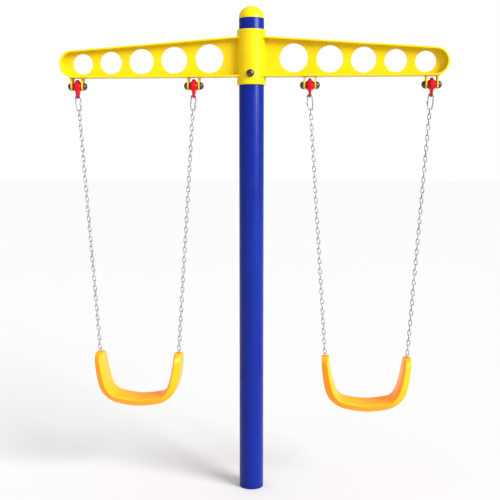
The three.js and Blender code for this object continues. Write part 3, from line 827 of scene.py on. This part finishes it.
def link_nut_mesh():
    """A long hexagon nut about Z: the hexagon's radius, cut down by a cone near both ends."""
    angle = ring(72)
    flat = LINK_NUT_RADIUS * np.cos(pi / 6)
    hexagon = flat / np.cos((angle + pi / 6) % (pi / 3) - pi / 6)
    half = LINK_NUT_LENGTH / 2
    upper = half - np.array(LINK_NUT_CHAMFER + [0])
    height = np.concatenate([-upper[::-1], upper])
    inset, slope = LINK_NUT_CONE
    cone = flat - inset + slope * (half - np.abs(height))
    radius = np.minimum(hexagon[None, :], cone[:, None])
    radius[[0, -1]] = LINK_WIRE + LINK_NUT_CLEARANCE
    heights = np.broadcast_to(height[:, None], radius.shape)
    points = np.stack([radius * np.cos(angle), radius * np.sin(angle), heights], axis=-1)
    return mesh_of("link nut", [grid_shell(points, closed_rows=True)], crease=25)


# Chains -----------------------------------------------------------------------------------------

def chain_mesh(length, seed):
    """Links hung one in the next down -Z. Each is a stadium of wire, turned a quarter turn from
    the last about the chain and by a little more at random."""
    half_width = (CHAIN_WIDTH - CHAIN_WIRE) / 2
    half_straight = (CHAIN_LINK_LENGTH - CHAIN_WIDTH) / 2
    angle = np.linspace(0, pi, 6)
    arch = np.stack([half_width * np.cos(angle), half_straight + half_width * np.sin(angle)], axis=-1)
    stadium = np.vstack([arch, -arch])
    flat = np.stack([0 * stadium[:, 0], stadium[:, 0], stadium[:, 1]], axis=-1)
    link, faces = tube(flat, CHAIN_WIRE / 2, (1, 0, 0), 6, closed=True)
    first = -(LINK_REACH - LINK_WIRE) + CHAIN_WIRE + CHAIN_PLAY - CHAIN_LINK_LENGTH / 2
    last = -length - CHAIN_END_DROP - CHAIN_WIRE + CHAIN_LINK_LENGTH / 2
    number = np.arange(CHAIN_LINKS)
    middle = np.linspace(first, last, CHAIN_LINKS)
    loose = np.random.default_rng(seed).uniform(-CHAIN_TWIST, CHAIN_TWIST, CHAIN_LINKS)
    loose[[0, -1]] = 0
    twist = number * pi / 2 + np.radians(loose)
    x, y, z = link.T
    points = np.stack([np.outer(np.cos(twist), x) - np.outer(np.sin(twist), y),
                       np.outer(np.sin(twist), x) + np.outer(np.cos(twist), y),
                       middle[:, None] + z], axis=-1)
    all_faces = np.array(faces)[None] + (number * len(link))[:, None, None]
    return mesh_of("chain", [(points.reshape(-1, 3), all_faces.reshape(-1, 4).tolist())], crease=80)


# Seats ------------------------------------------------------------------------------------------

def spline(points, t):
    """Uniform Catmull-Rom spline through points, at shares t of the way."""
    station = t * (len(points) - 1)
    start = np.minimum(station.astype(int), len(points) - 2)
    w = (station - start)[..., None]
    a, b, c, d = (points[np.clip(start + step, 0, len(points) - 1)] for step in (-1, 0, 1, 2))
    leave, arrive = (c - a) / 2, (d - b) / 2
    return ((2 * b - 2 * c + leave + arrive) * w ** 3 + (3 * c - 3 * b - 2 * leave - arrive) * w ** 2
            + leave * w + b)


def both_halves(half):
    """A half outline as a whole one, from the left end to the right."""
    half = np.array(half, float)
    return np.vstack([half[:-1] * [-1, 1], half[::-1]])


def seat_section():
    """The rounded section as [distance from the middle, share], with extra points across the
    inner face for its hollow."""
    outline = np.array(SEAT_SECTION, float) * [1, SEAT_WALL]
    rounded = soften(outline, SEAT_ROUNDING, 6)
    rounded = np.vstack([rounded, rounded[:1]])
    steps = np.linalg.norm(np.diff(rounded, axis=0), axis=1)
    travel = np.concatenate([[0], np.cumsum(steps)])
    fine = np.unique(np.concatenate([travel[:-1], np.arange(0, travel[-1], 6)]))
    section = np.stack([np.interp(fine, travel, rounded[:, axis]) for axis in (0, 1)], axis=-1)
    return section / [1, SEAT_WALL]


def ridge_moved(share, reach):
    """Shares bent, by a power of the share, so that the ridge lies nearer the inner face in the
    pan than in the uprights."""
    low, high = SEAT_CORNER
    rise = smooth_step((np.abs(reach) - low) / (high - low))
    ridge = SEAT_RIDGE_UNDER_PAN + (SEAT_RIDGE_UPRIGHT - SEAT_RIDGE_UNDER_PAN) * rise
    return share[None, :] ** (np.log(ridge) / np.log(SEAT_RIDGE))


def seat_mesh():
    """A U-shaped strip: at share v of its way a section lies between the inner and the outer
    spline. Over the first and last span its depth follows a quarter ellipse, which rounds the
    ends; the slots for the chains are cut into them."""
    inside, outside = both_halves(SEAT_INSIDE), both_halves(SEAT_OUTSIDE)
    spans = len(inside) - 1
    quarter = np.linspace(0.04, pi / 2, 22)
    arch = 1 - np.cos(quarter)
    along = np.concatenate([arch, np.linspace(1, spans - 1, 110)[1:-1], (spans - arch)[::-1]])
    depth = np.concatenate([np.sin(quarter), np.ones(108), np.sin(quarter)[::-1]])
    section = seat_section()
    across, share = section[:, 0], section[:, 1]
    rim = SEAT_CROWN / 44 * np.abs(2 * share - 1)[None, :] ** 6 * (1 - depth[:, None]) ** 0.5
    station = along[:, None] + np.where(along[:, None] < spans / 2, rim, -rim)
    inner, outer = spline(inside, station / spans), spline(outside, station / spans)
    fade_along, fade_across = SEAT_RECESS_BLEND
    pan_along = smooth_step((SEAT_RECESS_REACH - np.abs(inner[..., 0])) / fade_along)
    pan_across = smooth_step((SEAT_RECESS_HALF - np.abs(across)) / fade_across)
    hollow = np.where(share < 0.05, SEAT_RECESS / SEAT_WALL, 0) * pan_along * pan_across
    place = inner + (outer - inner) * (ridge_moved(share, inner[..., 0]) + hollow)[..., None]
    points = np.stack([place[..., 0], across * depth[:, None], place[..., 1]], axis=-1)
    body = mesh_of("seat", [grid_shell(points)], crease=50)
    slot_x, slot_y = SEAT_SLOT_HALF
    outline = soften([[-slot_x, -slot_y], [slot_x, -slot_y], [slot_x, slot_y], [-slot_x, slot_y]], 3.9, 6)
    cutters = []
    for end in (-1, 1):
        levels = np.array([SEAT_PIN_Z - SEAT_SLOT_DEPTH, SEAT_PIN_Z + 3 * SEAT_SLOT_DEPTH])
        walls = np.stack([np.column_stack([outline, np.full(len(outline), level)]) for level in levels])
        cutter = mesh_of("slot", [grid_shell(walls)])
        cutter.transform(Matrix.Translation((end * SEAT_PIN_REACH * MM, 0, 0)))
        cutters.append(cutter)
    return carved(body, *cutters)


# Both swings ------------------------------------------------------------------------------------

ear, ear_weld, pivot_cap = ear_mesh(), ear_weld_mesh(), bolt_cap_mesh()
hanger, quick_link, link_nut, seat = hanger_mesh(), quick_link_mesh(), link_nut_mesh(), seat_mesh()
# Turns a plate drawn in (x, y) so that (x, y, z) goes to (z, x, y)
FACING_X = Matrix(((0, 0, 1, 0), (1, 0, 0, 0), (0, 1, 0, 0), (0, 0, 0, 1)))


def leaning_frame(start, end):
    """Moves the origin to start and turns -Z towards end, about Y."""
    up = (start - end).normalized()
    sideways = Vector(ALONG_Y).cross(up)
    turned = Matrix((sideways, Vector(ALONG_Y), up)).transposed().to_4x4()
    return Matrix.Translation(start) @ turned


for side, sign in SIDES.items():
    for place in PLACES:
        label = f"{side}_{place}"
        pivot = HINGES[f"{label}_swing"]
        eye = HINGES[f"{label}_chain_fold"]
        outward = sign if place == "outer" else -sign
        pin = Vector((sign * SEAT_CENTRE + outward * SEAT_PIN_REACH, 0, SEAT_PIN_Z))

        for end, direction in (("near", -sign), ("far", sign)):
            ear_middle = pivot + Vector((direction * (EAR_INNER + EAR_THICKNESS / 2), 0, 0))
            cap_foot = pivot + Vector((direction * (EAR_INNER + EAR_THICKNESS), 0, 0))
            put(f"{label}_{end}_lug", ear, yellow_paint, "frame", [f"{label}_{end}_ear"],
                Matrix.Translation(ear_middle) @ FACING_X, flat=True)
            put(f"{label}_{end}_lug_weld", ear_weld, yellow_paint, "frame", (),
                Matrix.Translation(ear_middle))
            put(f"{label}_{end}_bolt_cap", pivot_cap, black_plastic, "frame", [f"{label}_{end}_cap"],
                Matrix.Translation(cap_foot) @ Matrix.Rotation(direction * pi / 2, 4, "Y"))

        put(f"{label}_casting", hanger, red_paint, f"{label}_hanger_body", [f"{label}_hanger"],
            Matrix.Translation(pivot))

        hanging = leaning_frame(eye, pin)
        chain_body = f"{label}_chain_body"
        nut_side = Matrix() if sign < 0 else Matrix.Rotation(pi, 4, "Z")
        put(f"{label}_wire_link", quick_link, zinc, chain_body, [f"{label}_quick_link"],
            hanging @ nut_side)
        put(f"{label}_nut", link_nut, zinc, chain_body, [f"{label}_link_nut"],
            hanging @ nut_side @ Matrix.Translation((LINK_TOP_BEND, 0, -LINK_NUT_DROP)))
        links = chain_mesh((eye - pin).length, seed=2 * sign + PLACES.index(place) + 5)
        put(f"{label}_links", links, zinc, chain_body, [f"{label}_chain"], hanging)

    put(f"{side}_moulded_seat", seat, seat_plastic, f"{side}_seat_body", [f"{side}_seat"],
        Matrix.Translation((sign * SEAT_CENTRE, 0, 0)))

CARRIED_OVER = {"_bush": nylon, "_bolt": zinc, "_pin": zinc}
for node, thing in frame["nodes"].items():
    for ending, finish in CARRIED_OVER.items():
        if node.endswith(ending):
            for material_slot in thing.material_slots:
                material_slot.material = finish.material


# Floor ------------------------------------------------------------------------------------------

floor_mesh = bpy.data.meshes.new("floor")
floor_corners = [(x * FLOOR_REACH, y * FLOOR_REACH, 0) for x, y in ((-1, -1), (1, -1), (1, 1), (-1, 1))]
floor_mesh.from_pydata(floor_corners, [], [(0, 1, 2, 3)])
floor = bpy.data.objects.new("floor", floor_mesh)
floor_finish = bpy.data.materials.new("pale floor")
floor_finish.use_nodes = True
floor_shader = floor_finish.node_tree.nodes["Principled BSDF"]
floor_shader.inputs["Base Color"].default_value = (FLOOR_SHADE, FLOOR_SHADE, FLOOR_SHADE, 1)
floor_shader.inputs["Roughness"].default_value = 0.9
floor_mesh.materials.append(floor_finish)
bpy.context.scene.collection.objects.link(floor)
